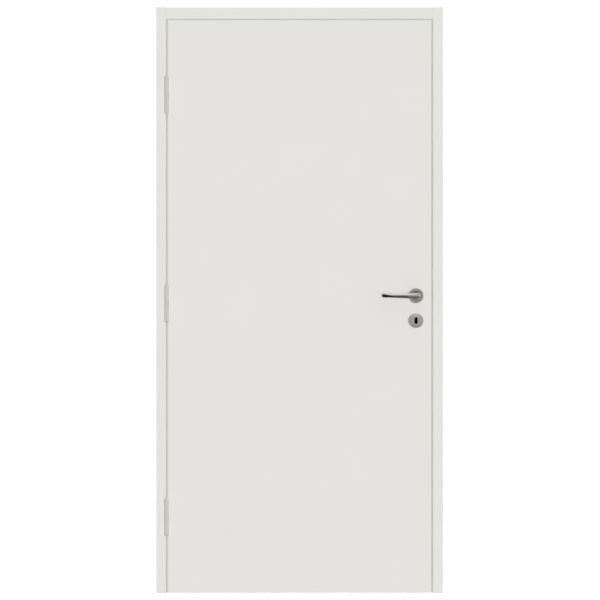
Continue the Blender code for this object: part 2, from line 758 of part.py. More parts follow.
def lever_stations():
    """The lever's centre line as (x, height, angle, radius), from the leaf out and along to the tip.

    The angle is that of the direction of travel, in degrees: 90 is straight out from the leaf, 180
    is along towards the hinges, and 270 is back towards the leaf.
    """
    stations = [(0.0, NECK_START, 90, NECK_RADIUS)]
    elbow_height = GRIP_OUT - ELBOW_RADIUS
    for i in range(BEND_STEPS + 1):
        turn = 90 * i / BEND_STEPS
        x = -ELBOW_RADIUS * (1 - math.cos(math.radians(turn)))
        height = elbow_height + ELBOW_RADIUS * math.sin(math.radians(turn))
        stations.append((x, height, 90 + turn, NECK_RADIUS))
    return_x = -(GRIP_LENGTH - GRIP_END_RADIUS - RETURN_RADIUS)
    run = return_x + ELBOW_RADIUS
    for i in range(1, BEND_STEPS + 1):
        share = i / BEND_STEPS
        radius = NECK_RADIUS + (GRIP_END_RADIUS - NECK_RADIUS) * share ** GRIP_TAPER
        stations.append((-ELBOW_RADIUS + run * share, GRIP_OUT, 180, radius))
    for i in range(1, BEND_STEPS + 1):
        turn = 90 * i / BEND_STEPS
        x = return_x - RETURN_RADIUS * math.sin(math.radians(turn))
        height = GRIP_OUT - RETURN_RADIUS * (1 - math.cos(math.radians(turn)))
        stations.append((x, height, 180 + turn, GRIP_END_RADIUS))
    tip_x = return_x - RETURN_RADIUS
    tip_height = GRIP_OUT - RETURN_RADIUS - RETURN_LENGTH
    for i in range(EASING_STEPS + 1):
        angle = math.radians(90 * i / EASING_STEPS)
        height = tip_height - TIP_EASING * math.sin(angle)
        radius = GRIP_END_RADIUS - TIP_EASING * (1 - math.cos(angle))
        stations.append((tip_x, height, 270, radius))
    return stations


def lever():
    """A lever handle: round neck, elbow, tapering grip and a return at the tip, with a square socket."""
    rings = []
    for x, height, angle, radius in lever_stations():
        heading = math.radians(angle)
        side = (-math.sin(heading), math.cos(heading))
        ring = []
        for i in range(GRIP_FLATS):
            around = 2 * math.pi * i / GRIP_FLATS
            offset = radius * math.cos(around)
            ring.append((x + side[0] * offset, radius * math.sin(around), height + side[1] * offset))
        rings.append(ring)
    half = SPINDLE_SIZE / 2 + TOUCH
    socket = block((-half, -half, -TOUCH), (half, half, SPINDLE_REACH + TOUCH))
    return cut(lofted(rings), socket)


for old in list(bpy.data.objects):
    bpy.data.objects.remove(old)

frame_paint = paint("frame_paint", (0.776, 0.783, 0.745), 0.42)
leaf_paint = paint("leaf_paint", (0.776, 0.768, 0.737), 0.38)
timber = paint("timber", (0.62, 0.45, 0.27), 0.70)
chipboard = paint("chipboard", (0.55, 0.42, 0.27), 0.85)
hinge_metal = paint("hinge_metal", (0.57, 0.58, 0.54), 0.35, 0.6)
washer_metal = paint("washer_metal", (0.70, 0.55, 0.28), 0.35, 1.0)
lever_metal = paint("lever_metal", (0.62, 0.60, 0.56), 0.28, 1.0)
lock_steel = paint("lock_steel", (0.45, 0.45, 0.44), 0.40, 1.0)
seal_rubber = paint("seal_rubber", (0.60, 0.60, 0.58), 0.65)

frame = carrier("door_frame", (JAMB_OUTSIDE, 0, -DATUM_HEIGHT))
frame["doorway_point"] = (0, 0, 0)
swing = carrier("door_swing_axis", (HINGE_X, HINGE_Y, 0), frame)
handle = carrier("lever_turn_axis", (LOCK_X, LEAF_FRONT, LEVER_HEIGHT), swing)

piece("hinge_jamb", cut(jamb(-1), *hinge_pockets(-1)), frame_paint, frame)
piece("latch_jamb", cut(jamb(1), *strike_recess()), frame_paint, frame)
piece("head_jamb", head(), frame_paint, frame)
piece("hinge_stop", upright_trim(stop_section(), -1), frame_paint, frame)
piece("latch_stop", upright_trim(stop_section(), 1), frame_paint, frame)
piece("head_stop", head_trim(stop_section()), frame_paint, frame)
piece("hinge_seal", upright_trim(seal_section(), -1), seal_rubber, frame)
piece("latch_seal", upright_trim(seal_section(), 1), seal_rubber, frame)
piece("head_seal", head_trim(seal_section()), seal_rubber, frame)
piece("strike_plate", strike_plate(), lock_steel, frame)

for place, height in HINGE_PLACES.items():
    point = (HINGE_X, HINGE_Y, height)
    piece(place + "_hinge_frame_half", lower_hinge_half(), hinge_metal, frame, point)
    piece(place + "_hinge_leaf_half", upper_hinge_half(), hinge_metal, swing, point)
    piece(place + "_hinge_washer", hinge_washer(), washer_metal, frame, point)

core_outline = [
    (-CORE_EDGE, CORE_BOTTOM),
    (CORE_EDGE, CORE_BOTTOM),
    (CORE_EDGE, LOCK_BLOCK_BOTTOM - TOUCH),
    (LOCK_BLOCK_SIDE - TOUCH, LOCK_BLOCK_BOTTOM - TOUCH),
    (LOCK_BLOCK_SIDE - TOUCH, LOCK_BLOCK_TOP + TOUCH),
    (CORE_EDGE, LOCK_BLOCK_TOP + TOUCH),
    (CORE_EDGE, CORE_TOP),
    (-CORE_EDGE, CORE_TOP),
]
hinge_stile = leaf_board(-LEAF_EDGE, -STILE_INSIDE, LEAF_BOTTOM, LEAF_TOP)
latch_stile = leaf_board(STILE_INSIDE, LEAF_EDGE, LEAF_BOTTOM, LEAF_TOP)
top_rail = leaf_board(-CORE_EDGE, CORE_EDGE, LEAF_TOP - TOP_RAIL_WIDTH, LEAF_TOP)
bottom_rail = leaf_board(-CORE_EDGE, CORE_EDGE, LEAF_BOTTOM, LEAF_BOTTOM + BOTTOM_RAIL_WIDTH)
lock_block = leaf_board(LOCK_BLOCK_SIDE, CORE_EDGE, LOCK_BLOCK_BOTTOM, LOCK_BLOCK_TOP)
front_skin = skin(LEAF_FRONT, LEAF_FRONT + SKIN_THICKNESS)
back_skin = skin(LEAF_BACK, LEAF_BACK - SKIN_THICKNESS)
piece("leaf_core", extruded(core_outline, "Y", CORE_FRONT, CORE_BACK), chipboard, swing)
piece("hinge_stile", cut(hinge_stile, *hinge_pockets(1)), timber, swing)
piece("latch_stile", cut(latch_stile, case_pocket()), timber, swing)
piece("top_rail", top_rail, timber, swing)
piece("bottom_rail", bottom_rail, timber, swing)
piece("lock_block", cut(lock_block, case_pocket(), *lock_holes()), timber, swing)
piece("front_skin", cut(front_skin, *hinge_pockets(1), *lock_holes()), leaf_paint, swing)
piece("back_skin", cut(back_skin, *lock_holes()), leaf_paint, swing)
piece("lock_forend", lock_forend(), lock_steel, swing)
piece("lock_case", lock_case(), lock_steel, swing)
piece("latch_bolt", latch_bolt(), lock_steel, swing)
piece("dead_bolt", dead_bolt(), lock_steel, swing)

for place, face, turn in (("front", LEAF_FRONT, 90), ("back", LEAF_BACK, -90)):
    lever_point = (LOCK_X, face, LEVER_HEIGHT)
    key_point = (LOCK_X, face, KEY_HEIGHT)
    piece(place + "_lever_rose", lever_rose(), lever_metal, swing, lever_point, turn)
    piece(place + "_key_rose", key_rose(), lever_metal, swing, key_point, turn)
    piece(place + "_lever", lever(), lever_metal, handle, lever_point, turn)

spindle_front = LEAF_FRONT - SPINDLE_REACH
spindle_back = LEAF_BACK + SPINDLE_REACH
piece("lock_follower", lock_follower(), lock_steel, handle)
piece("spindle", spindle_bar(0.0, spindle_front, spindle_back), lock_steel, handle)
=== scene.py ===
import math
import bmesh
import bpy
from mathutils import Matrix, Vector


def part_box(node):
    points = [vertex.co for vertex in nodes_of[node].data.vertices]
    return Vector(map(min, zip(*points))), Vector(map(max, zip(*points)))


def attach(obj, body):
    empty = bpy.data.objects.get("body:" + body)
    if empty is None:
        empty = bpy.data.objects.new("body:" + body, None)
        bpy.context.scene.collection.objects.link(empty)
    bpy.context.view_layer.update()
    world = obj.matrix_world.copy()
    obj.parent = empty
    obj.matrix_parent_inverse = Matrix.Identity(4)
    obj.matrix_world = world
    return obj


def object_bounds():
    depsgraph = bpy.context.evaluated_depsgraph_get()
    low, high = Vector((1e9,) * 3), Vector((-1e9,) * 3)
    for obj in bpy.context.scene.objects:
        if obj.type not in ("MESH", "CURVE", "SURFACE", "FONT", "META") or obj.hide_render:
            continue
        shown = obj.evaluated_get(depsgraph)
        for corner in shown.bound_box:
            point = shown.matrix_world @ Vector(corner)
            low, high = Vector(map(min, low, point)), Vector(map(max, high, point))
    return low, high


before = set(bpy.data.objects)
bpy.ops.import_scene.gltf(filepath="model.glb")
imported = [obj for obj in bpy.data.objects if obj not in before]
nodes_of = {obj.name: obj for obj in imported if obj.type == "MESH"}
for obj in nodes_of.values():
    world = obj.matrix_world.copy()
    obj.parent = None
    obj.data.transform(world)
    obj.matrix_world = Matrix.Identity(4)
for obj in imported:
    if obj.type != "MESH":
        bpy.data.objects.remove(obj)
cad_box = [list(corner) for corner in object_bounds()]


# Studio
# A pale floor with a glow of its own, in an evenly lit white studio. A soft lamp at the camera lights
# the front without a visible shadow, and lamps far off light the other sides. Metal mirrors no lamp.

CAMERA_PLACE = (0.5081, -2.350, 0.0355)
CAMERA_LENS = 39.08
CAMERA_REACH = 60.0
FRONT_LAMP_POWER = 23.6
FRONT_LAMP_RADIUS = 0.15
LEAST_STRAIGHTNESS = 0.7
FLOOR_SIZE = 24.0
FLOOR_MIDDLE = (0.5, 4.0, cad_box[0][2])
FLOOR_GREY = (0.50, 0.50, 0.50, 1.0)
FLOOR_GLOW = 0.66

bpy.context.scene.view_settings.view_transform = "Standard"
camera = bpy.data.objects.new("camera", bpy.data.cameras.new("camera"))
bpy.context.scene.collection.objects.link(camera)
camera.location = CAMERA_PLACE
camera.rotation_euler = (math.radians(90), 0, 0)
camera.data.sensor_width = 36.0
camera.data.lens = CAMERA_LENS
camera.data.clip_end = CAMERA_REACH
bpy.context.scene.camera = camera

room = bpy.data.worlds.new("white_room")
bpy.context.scene.world = room
room.use_nodes = True
room_nodes = room.node_tree.nodes
room_links = room.node_tree.links
room_nodes.clear()
room_way = room_nodes.new("ShaderNodeTexCoord")


def room_greys(towards, greys):
    """Greys that run through (share, grey) stops from one side of the room to the other."""
    along = room_nodes.new("ShaderNodeVectorMath")
    along.operation = "DOT_PRODUCT"
    along.inputs[1].default_value = towards
    spread = room_nodes.new("ShaderNodeMapRange")
    spread.inputs["From Min"].default_value = -1.0
    stops = room_nodes.new("ShaderNodeValToRGB")
    room_links.new(room_way.outputs["Generated"], along.inputs[0])
    room_links.new(along.outputs["Value"], spread.inputs["Value"])
    room_links.new(spread.outputs["Result"], stops.inputs["Fac"])
    steps = stops.color_ramp.elements
    while len(steps) < len(greys):
        steps.new(0.5)
    for step, (share, grey) in zip(steps, greys):
        step.position = share
        step.color = (grey, grey, grey, 1.0)
    return stops.outputs["Color"]


def room_light(strength):
    """A background of an even white."""
    light = room_nodes.new("ShaderNodeBackground")
    light.inputs["Color"].default_value = (1.0, 1.0, 1.0, 1.0)
    light.inputs["Strength"].default_value = strength
    return light


# What lights the part, what the camera sees behind it, and what its metal mirrors.
lit_room = room_light(0.37)
seen_room = room_light(1.02)
mirrored_room = room_light(2.0)
low_to_high = room_greys(
    (0, 0, 1), [(0.0, 0.30), (0.20, 0.32), (0.36, 0.40), (0.78, 0.40), (0.89, 0.95), (1.0, 1.0)]
)
left_to_right = room_greys((1, 0, 0), [(0.0, 0.40), (0.20, 0.48), (0.32, 0.56), (1.0, 0.56)])
both_ways = room_nodes.new("ShaderNodeVectorMath")
both_ways.operation = "MULTIPLY"
room_links.new(low_to_high, both_ways.inputs[0])
room_links.new(left_to_right, both_ways.inputs[1])
room_links.new(both_ways.outputs["Vector"], mirrored_room.inputs["Color"])
ray_kind = room_nodes.new("ShaderNodeLightPath")
with_mirror = room_nodes.new("ShaderNodeMixShader")
with_camera = room_nodes.new("ShaderNodeMixShader")
room_out = room_nodes.new("ShaderNodeOutputWorld")
room_links.new(ray_kind.outputs["Is Glossy Ray"], with_mirror.inputs[0])
room_links.new(lit_room.outputs[0], with_mirror.inputs[1])
room_links.new(mirrored_room.outputs[0], with_mirror.inputs[2])
room_links.new(ray_kind.outputs["Is Camera Ray"], with_camera.inputs[0])
room_links.new(with_mirror.outputs[0], with_camera.inputs[1])
room_links.new(seen_room.outputs[0], with_camera.inputs[2])
room_links.new(with_camera.outputs[0], room_out.inputs["Surface"])


def far_lamp(name, towards, strength, spread):
    """A lamp far off that shines in one direction, as wide as so many degrees."""
    lamp = bpy.data.lights.new(name, "SUN")
    lamp.energy = strength
    lamp.angle = math.radians(spread)
    made = bpy.data.objects.new(name, lamp)
    bpy.context.scene.collection.objects.link(made)
    made.rotation_euler = Vector(towards).to_track_quat("-Z", "Y").to_euler()
    made.visible_glossy = False


far_lamp("back_lamp", towards=(-0.15, -1, 0), strength=1.88, spread=9)
far_lamp("left_lamp", towards=(1, 0, 0), strength=1.05, spread=1)
far_lamp("right_lamp", towards=(-1, 0, -0.25), strength=0.88, spread=1)
far_lamp("top_lamp", towards=(0, 0, -1), strength=0.95, spread=1)

# The front lamp shines harder the more aslant its beam runs, so that an upright face is lit evenly.
front_light = bpy.data.lights.new("front_lamp", "POINT")
front_light.energy = FRONT_LAMP_POWER
front_light.shadow_soft_size = FRONT_LAMP_RADIUS
front_light.use_nodes = True
front_lamp = bpy.data.objects.new("front_lamp", front_light)
bpy.context.scene.collection.objects.link(front_lamp)
front_lamp.location = CAMERA_PLACE
front_lamp.visible_glossy = False
lamp_nodes = front_light.node_tree.nodes
lamp_links = front_light.node_tree.links
no_falloff = lamp_nodes.new("ShaderNodeLightFalloff")
no_falloff.inputs["Strength"].default_value = 1.0
beam_way = lamp_nodes.new("ShaderNodeTexCoord")
beam_parts = lamp_nodes.new("ShaderNodeSeparateXYZ")
beam_straightness = lamp_nodes.new("ShaderNodeMath")
beam_straightness.operation = "ABSOLUTE"
least_straight = lamp_nodes.new("ShaderNodeMath")
least_straight.operation = "MAXIMUM"
least_straight.inputs[1].default_value = LEAST_STRAIGHTNESS
flat_beam = lamp_nodes.new("ShaderNodeMath")
flat_beam.operation = "DIVIDE"
lamp_links.new(beam_way.outputs["Normal"], beam_parts.inputs["Vector"])
lamp_links.new(beam_parts.outputs["Y"], beam_straightness.inputs[0])
lamp_links.new(beam_straightness.outputs["Value"], least_straight.inputs[0])
lamp_links.new(no_falloff.outputs["Constant"], flat_beam.inputs[0])
lamp_links.new(least_straight.outputs["Value"], flat_beam.inputs[1])
lamp_links.new(flat_beam.outputs["Value"], lamp_nodes["Emission"].inputs["Strength"])

bpy.ops.object.select_all(action="DESELECT")
bpy.ops.mesh.primitive_plane_add(size=FLOOR_SIZE, location=FLOOR_MIDDLE)
floor = bpy.context.active_object
floor.name = "studio_floor"
floor.visible_glossy = False
floor.visible_diffuse = False
floor.visible_shadow = False
floor_white = bpy.data.materials.new("floor_white")
floor_white.use_nodes = True
floor_shader = floor_white.node_tree.nodes["Principled BSDF"]
floor_shader.inputs["Base Color"].default_value = FLOOR_GREY
floor_shader.inputs["Roughness"].default_value = 1.0
floor_shader.inputs["Specular IOR Level"].default_value = 0.0
floor_shader.inputs["Emission Color"].default_value = (1.0, 1.0, 1.0, 1.0)
floor_shader.inputs["Emission Strength"].default_value = FLOOR_GLOW
floor.data.materials.append(floor_white)


# Frame
# Two uprights with the head butted between them, planed from finger-jointed softwood and sprayed
# with white lacquer in the workshop. The film is smooth, with a trace of orange peel.

MM = 0.001
LACQUER_SHADE = 0.992
LACQUER_GLOSS_SPREAD = 0.03


def new_finish(name, roughness, metallic=0.0):
    """A material whose shader is ready for patterns."""
    made = bpy.data.materials.new(name)
    made.use_nodes = True
    shader = made.node_tree.nodes["Principled BSDF"]
    shader.inputs["Roughness"].default_value = roughness
    shader.inputs["Metallic"].default_value = metallic
    return made


def placed(finish, stretch=(1, 1, 1), shift=(0, 0, 0)):
    """The object's own coordinates, shifted and stretched."""
    tree = finish.node_tree
    where = tree.nodes.new("ShaderNodeTexCoord")
    mapping = tree.nodes.new("ShaderNodeMapping")
    mapping.inputs["Location"].default_value = shift
    mapping.inputs["Scale"].default_value = stretch
    tree.links.new(where.outputs["Object"], mapping.inputs["Vector"])
    return mapping.outputs["Vector"]


def speckle(finish, per_metre, detail=2.0, stretch=(1, 1, 1)):
    """A cloudy pattern with so many clouds to the metre."""
    tree = finish.node_tree
    clouds = tree.nodes.new("ShaderNodeTexNoise")
    clouds.inputs["Scale"].default_value = per_metre
    clouds.inputs["Detail"].default_value = detail
    tree.links.new(placed(finish, stretch), clouds.inputs["Vector"])
    return clouds.outputs["Fac"]


def spread_over(finish, pattern, low=0.0, high=1.0):
    """A pattern's middle range turned into values from low to high."""
    tree = finish.node_tree
    spread = tree.nodes.new("ShaderNodeMapRange")
    spread.inputs["From Min"].default_value = 0.3
    spread.inputs["From Max"].default_value = 0.7
    spread.inputs["To Min"].default_value = low
    spread.inputs["To Max"].default_value = high
    tree.links.new(pattern, spread.inputs["Value"])
    return spread.outputs["Result"]


def blended(finish, pattern, low_colour, high_colour):
    """A colour between two, by a pattern from 0 to 1."""
    tree = finish.node_tree
    mix = tree.nodes.new("ShaderNodeMix")
    mix.data_type = "RGBA"
    mix.inputs[6].default_value = (*low_colour, 1.0)
    mix.inputs[7].default_value = (*high_colour, 1.0)
    tree.links.new(pattern, mix.inputs[0])
    return mix.outputs[2]


def feed(finish, socket, value):
    """Links a pattern to one of the shader's sockets."""
    shader = finish.node_tree.nodes["Principled BSDF"]
    finish.node_tree.links.new(value, shader.inputs[socket])


def coloured(finish, pattern, low_colour, high_colour):
    """Lets the surface's colour wander between two, by a pattern from 0 to 1."""
    feed(finish, "Base Color", blended(finish, pattern, low_colour, high_colour))


def embossed(finish, pattern, height_mm):
    """Turns a pattern into a fine relief."""
    tree = finish.node_tree
    relief = tree.nodes.new("ShaderNodeBump")
    relief.inputs["Distance"].default_value = height_mm * MM
    tree.links.new(pattern, relief.inputs["Height"])
    feed(finish, "Normal", relief.outputs["Normal"])


def lacquer(name, colour, roughness):
    """Sprayed white lacquer: nearly even, with orange peel and a slightly uneven gloss."""
    made = new_finish(name, roughness)
    made.node_tree.nodes["Principled BSDF"].inputs["Specular IOR Level"].default_value = 0.2
    shade = tuple(channel * LACQUER_SHADE for channel in colour)
    coloured(made, spread_over(made, speckle(made, 5.0)), shade, colour)
    glossiest = roughness - LACQUER_GLOSS_SPREAD
    dullest = roughness + LACQUER_GLOSS_SPREAD
    feed(made, "Roughness", spread_over(made, speckle(made, 60.0, 3.0), glossiest, dullest))
    embossed(made, speckle(made, 420.0, 2.0), 0.02)
    return made


def finished(finish, *names):
    """Gives CAD nodes their finish."""
    for name in names:
        mesh = nodes_of[name].data
        mesh.materials.clear()
        mesh.materials.append(finish)


frame_lacquer = lacquer("frame_lacquer", (0.802, 0.808, 0.768), 0.42)
finished(frame_lacquer, "hinge_jamb", "latch_jamb", "head_jamb")


# Stops and seals
# Lacquered strips planted in the frame behind the leaf, mitred at the head. A grey soft seal is
# pressed into the groove in each, with its bulb towards the leaf.

finished(frame_lacquer, "hinge_stop", "latch_stop", "head_stop")

seal_rubber = new_finish("seal_rubber", 0.62)
seal_dust = spread_over(seal_rubber, speckle(seal_rubber, 900.0, 3.0))
coloured(seal_rubber, seal_dust, (0.50, 0.50, 0.48), (0.58, 0.58, 0.56))
embossed(seal_rubber, speckle(seal_rubber, 1500.0), 0.02)
finished(seal_rubber, "hinge_seal", "latch_seal", "head_seal")


# Strike plate
# A pressed steel plate let into the latch jamb, brushed along its length, with two countersunk
# screws. Its holes open on the pockets for the latch and the dead bolt.


def brushed(name, dark, light, roughness, stretch, relief_mm=0.006):
    """Brushed metal. The stretch is small along the brushing and large across it."""
    made = new_finish(name, roughness, 1.0)
    lines = speckle(made, 1.0, 4.0, stretch)
    coloured(made, spread_over(made, lines), dark, light)
    feed(made, "Roughness", spread_over(made, lines, roughness + 0.06, roughness - 0.05))
    embossed(made, lines, relief_mm)
    return made


plate_steel = brushed("plate_steel", (0.42, 0.42, 0.41), (0.56, 0.56, 0.55), 0.36, (2600, 2600, 60))
finished(plate_steel, "strike_plate")

UP = (0, 0, 1)
DOWN = (0, 0, -1)
SCREW_HEAD_RADIUS = 4.15 * MM
SCREW_HEAD_DEPTH = 2.0 * MM
SCREW_SHANK_RADIUS = 2.2 * MM
SCREW_SHANK_LENGTH = 0.4 * MM
SCREW_RIM_WIDTH = 0.35 * MM
SCREW_RIM_RISE = 0.12 * MM
SCREW_CROWN_WIDTH = 1.1 * MM
SCREW_CROWN_RISE = 0.08 * MM
RECESS_WIDTH = 1.1 * MM
RECESS_SPAN = 4.6 * MM
RECESS_DEPTH = 1.3 * MM
RECESS_TAPER = 0.55
STRIKE_SCREW_Y = -0.030
STRIKE_SCREW_FROM_END = 15 * MM
SCREW_PROUD = 0.1 * MM

screw_plating = new_finish("screw_plating", 0.30, 1.0)
plating_spots = spread_over(screw_plating, speckle(screw_plating, 1200.0, 3.0))
coloured(screw_plating, plating_spots, (0.50, 0.50, 0.49), (0.66, 0.66, 0.65))
feed(screw_plating, "Roughness", spread_over(screw_plating, plating_spots, 0.26, 0.36))


def select_faces(piece, towards):
    """Selects in edit mode the piece's faces that look in one direction."""
    mesh = bmesh.from_edit_mesh(piece.data)
    for face in mesh.faces:
        face.select_set(face.normal.dot(Vector(towards)) > 0.9)
    mesh.select_flush_mode()
    bmesh.update_edit_mesh(piece.data)


def cut_or_join(piece, other, operation="DIFFERENCE"):
    """Cuts another shape out of a piece, or joins it on, and throws the other away."""
    boolean = piece.modifiers.new("cut", "BOOLEAN")
    boolean.operation = operation
    boolean.solver = "EXACT"
    boolean.object = other
    bpy.ops.object.select_all(action="DESELECT")
    bpy.context.view_layer.objects.active = piece
    piece.select_set(True)
    bpy.ops.object.modifier_apply(modifier="cut")
    bpy.data.objects.remove(other)


def screw_pattern():
    """One countersunk cross-head screw, with its face at the origin, looking along +z."""
    bpy.ops.object.select_all(action="DESELECT")
    bpy.ops.mesh.primitive_cone_add(
        vertices=28,
        radius1=SCREW_SHANK_RADIUS,
        radius2=SCREW_HEAD_RADIUS,
        depth=SCREW_HEAD_DEPTH,
        location=(0, 0, -SCREW_HEAD_DEPTH / 2),
    )
    screw = bpy.context.active_object
    screw.name = "screw_pattern"
    bpy.ops.object.transform_apply(location=True)
    bpy.ops.object.mode_set(mode="EDIT")
    bpy.ops.mesh.select_mode(type="FACE")
    select_faces(screw, UP)
    bpy.ops.mesh.inset(thickness=SCREW_RIM_WIDTH)
    bpy.ops.transform.translate(value=(0, 0, SCREW_RIM_RISE))
    bpy.ops.mesh.inset(thickness=SCREW_CROWN_WIDTH)
    bpy.ops.transform.translate(value=(0, 0, SCREW_CROWN_RISE))
    select_faces(screw, DOWN)
    bpy.ops.mesh.extrude_region_move(
        TRANSFORM_OT_translate={"value": (0, 0, -SCREW_SHANK_LENGTH)}
    )
    bpy.ops.object.mode_set(mode="OBJECT")
    for span_x, span_y in ((RECESS_SPAN, RECESS_WIDTH), (RECESS_WIDTH, RECESS_SPAN)):
        bpy.ops.object.select_all(action="DESELECT")
        bpy.ops.mesh.primitive_cube_add(size=1.0, location=(0, 0, 0))
        cutter = bpy.context.active_object
        cutter.scale = (span_x, span_y, 2 * RECESS_DEPTH)
        bpy.ops.object.transform_apply(scale=True)
        bpy.ops.object.mode_set(mode="EDIT")
        select_faces(cutter, DOWN)
        bpy.ops.transform.resize(value=(RECESS_TAPER, RECESS_TAPER, 1.0))
        bpy.ops.object.mode_set(mode="OBJECT")
        cut_or_join(screw, cutter)
    screw.data.materials.append(screw_plating)
    bpy.ops.object.select_all(action="DESELECT")
    screw.select_set(True)
    bpy.context.view_layer.objects.active = screw
    bpy.ops.object.shade_smooth_by_angle(angle=math.radians(30))
    return screw


screw_master = screw_pattern()


def drive_screw(name, point, facing, turn, body):
    """A copy of the screw, set in a point, facing +x (1) or -x (-1), its cross turned in degrees."""
    made = bpy.data.objects.new(name, screw_master.data.copy())
    bpy.context.scene.collection.objects.link(made)
    spun = Matrix.Rotation(math.radians(turn), 4, "Z")
    laid = Matrix.Rotation(math.radians(90 * facing), 4, "Y")
    made.data.transform(Matrix.Translation(Vector(point)) @ laid @ spun)
    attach(made, body)


# Each screw has stopped at an angle of its own, which is worked out from its height.
strike_low, strike_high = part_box("strike_plate")
for name, z in (
    ("upper", strike_high.z - STRIKE_SCREW_FROM_END),
    ("lower", strike_low.z + STRIKE_SCREW_FROM_END),
):
    point = (strike_low.x - SCREW_PROUD, STRIKE_SCREW_Y, z)
    drive_screw(f"strike_screw_{name}", point, -1, 20 + 900 * z, "frame")


# Hinges
# Three lift-off hinges. The frame's half has the pin, the leaf's half drops over it, and a coated
# washer lies between. The halves are steel with a light grey satin coat, screwed flush.

SCREW_SUNK = 0.1 * MM
# Each screw's height over the hinge's middle and its distance behind the leaf's face.
HINGE_SCREWS = ((-46 * MM, 20 * MM), (46 * MM, 20 * MM), (-14 * MM, 9 * MM), (14 * MM, 9 * MM))

hinge_coat = new_finish("hinge_coat", 0.48)
hinge_coat.node_tree.nodes["Principled BSDF"].inputs["Specular IOR Level"].default_value = 0.3
coat_clouds = spread_over(hinge_coat, speckle(hinge_coat, 90.0, 3.0))
coloured(hinge_coat, coat_clouds, (0.543, 0.547, 0.514), (0.551, 0.555, 0.522))
feed(hinge_coat, "Roughness", spread_over(hinge_coat, coat_clouds, 0.43, 0.49))
embossed(hinge_coat, speckle(hinge_coat, 1800.0, 3.0), 0.01)

washer_coat = new_finish("washer_coat", 0.5)
washer_clouds = spread_over(washer_coat, speckle(washer_coat, 300.0, 2.0))
coloured(washer_coat, washer_clouds, (0.500, 0.505, 0.470), (0.520, 0.525, 0.490))
embossed(washer_coat, washer_clouds, 0.01)

for place in ("bottom", "middle", "top"):
    finished(hinge_coat, f"{place}_hinge_frame_half", f"{place}_hinge_leaf_half")
    finished(washer_coat, f"{place}_hinge_washer")
    low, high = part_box(f"{place}_hinge_washer")
    axis = (low + high) / 2
    for number, (up, back) in enumerate(HINGE_SCREWS):
        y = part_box("front_skin")[0].y + back
        z = axis.z + up
        turn = 37 * number + 500 * axis.z
        jamb_point = (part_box("hinge_jamb")[1].x - SCREW_SUNK, y, z)
        leaf_point = (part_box("hinge_stile")[0].x + SCREW_SUNK, y, z)
        drive_screw(f"{place}_frame_screw_{number}", jamb_point, 1, turn, "frame")
        drive_screw(f"{place}_leaf_screw_{number}", leaf_point, -1, turn + 50, "leaf")


# Leaf
# Two fibreboard skins glued over softwood stiles and rails and a chipboard core, with a lock block
# beside the latch stile. The skins are lacquered white, slightly warmer than the frame.

leaf_lacquer = lacquer("leaf_lacquer", (0.811, 0.802, 0.771), 0.40)
finished(leaf_lacquer, "front_skin", "back_skin")


def timber(name, stretch):
    """Planed softwood, with its growth lines drawn out along the board."""
    made = new_finish(name, 0.62)
    grain = speckle(made, 1.0, 5.0, stretch)
    coloured(made, spread_over(made, grain), (0.50, 0.34, 0.18), (0.74, 0.57, 0.36))
    feed(made, "Roughness", spread_over(made, grain, 0.55, 0.70))
    embossed(made, grain, 0.08)
    return made


upright_timber = timber("upright_timber", (220, 220, 5))
level_timber = timber("level_timber", (5, 220, 220))
finished(upright_timber, "hinge_stile", "latch_stile", "lock_block")
finished(level_timber, "top_rail", "bottom_rail")

core_board = new_finish("core_board", 0.80)
chips = core_board.node_tree.nodes.new("ShaderNodeTexVoronoi")
chips.inputs["Scale"].default_value = 380.0
core_board.node_tree.links.new(placed(core_board), chips.inputs["Vector"])
coloured(core_board, chips.outputs["Distance"], (0.62, 0.48, 0.30), (0.42, 0.30, 0.17))
embossed(core_board, chips.outputs["Distance"], 0.15)
finished(core_board, "leaf_core")


# Edge bands
# Thin strips glued to the leaf's latch edge, hinge edge and top, a little in from its faces, and
# lacquered with the skins. They are cut out round the forend and the hinges.

leaf_low, leaf_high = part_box("front_skin")
back_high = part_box("back_skin")[1]
EDGE_MARGIN = 2.5 * MM
BAND_THICKNESS = 0.3 * MM
BAND_SETBACK = 0.1 * MM
BAND_EASING = 0.12 * MM
BAND_FRONT = leaf_low.y + EDGE_MARGIN + BAND_SETBACK
BAND_BACK = back_high.y - EDGE_MARGIN - BAND_SETBACK
FOREND_JOINT = 0.3 * MM
POCKET_BACK = leaf_low.y + 28.3 * MM
POCKET_HALF = 59.3 * MM
POCKET_CORNER = 8.3 * MM
CUTTER_DEPTH = 6 * MM
CUTTER_OVERSHOOT = 10 * MM


def square_strip(name, low, high):
    """A square strip between two corners, before it is shaped."""
    bpy.ops.object.select_all(action="DESELECT")
    bpy.ops.mesh.primitive_cube_add(size=1.0, location=(Vector(low) + Vector(high)) / 2)
    made = bpy.context.active_object
    made.name = name
    made.scale = Vector(high) - Vector(low)
    bpy.ops.object.transform_apply(location=True, scale=True)
    return made


def ease_edges(made, width, segments):
    """Rounds the edges of a piece a little."""
    ease = made.modifiers.new("ease", "BEVEL")
    ease.width = width
    ease.segments = segments
    bpy.ops.object.select_all(action="DESELECT")
    bpy.context.view_layer.objects.active = made
    made.select_set(True)
    bpy.ops.object.modifier_apply(modifier="ease")


def finish_band(made):
    """Eases the band's edges, lacquers it and fixes it to the leaf."""
    ease_edges(made, BAND_EASING, 1)
    made.data.materials.append(leaf_lacquer)
    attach(made, "leaf")


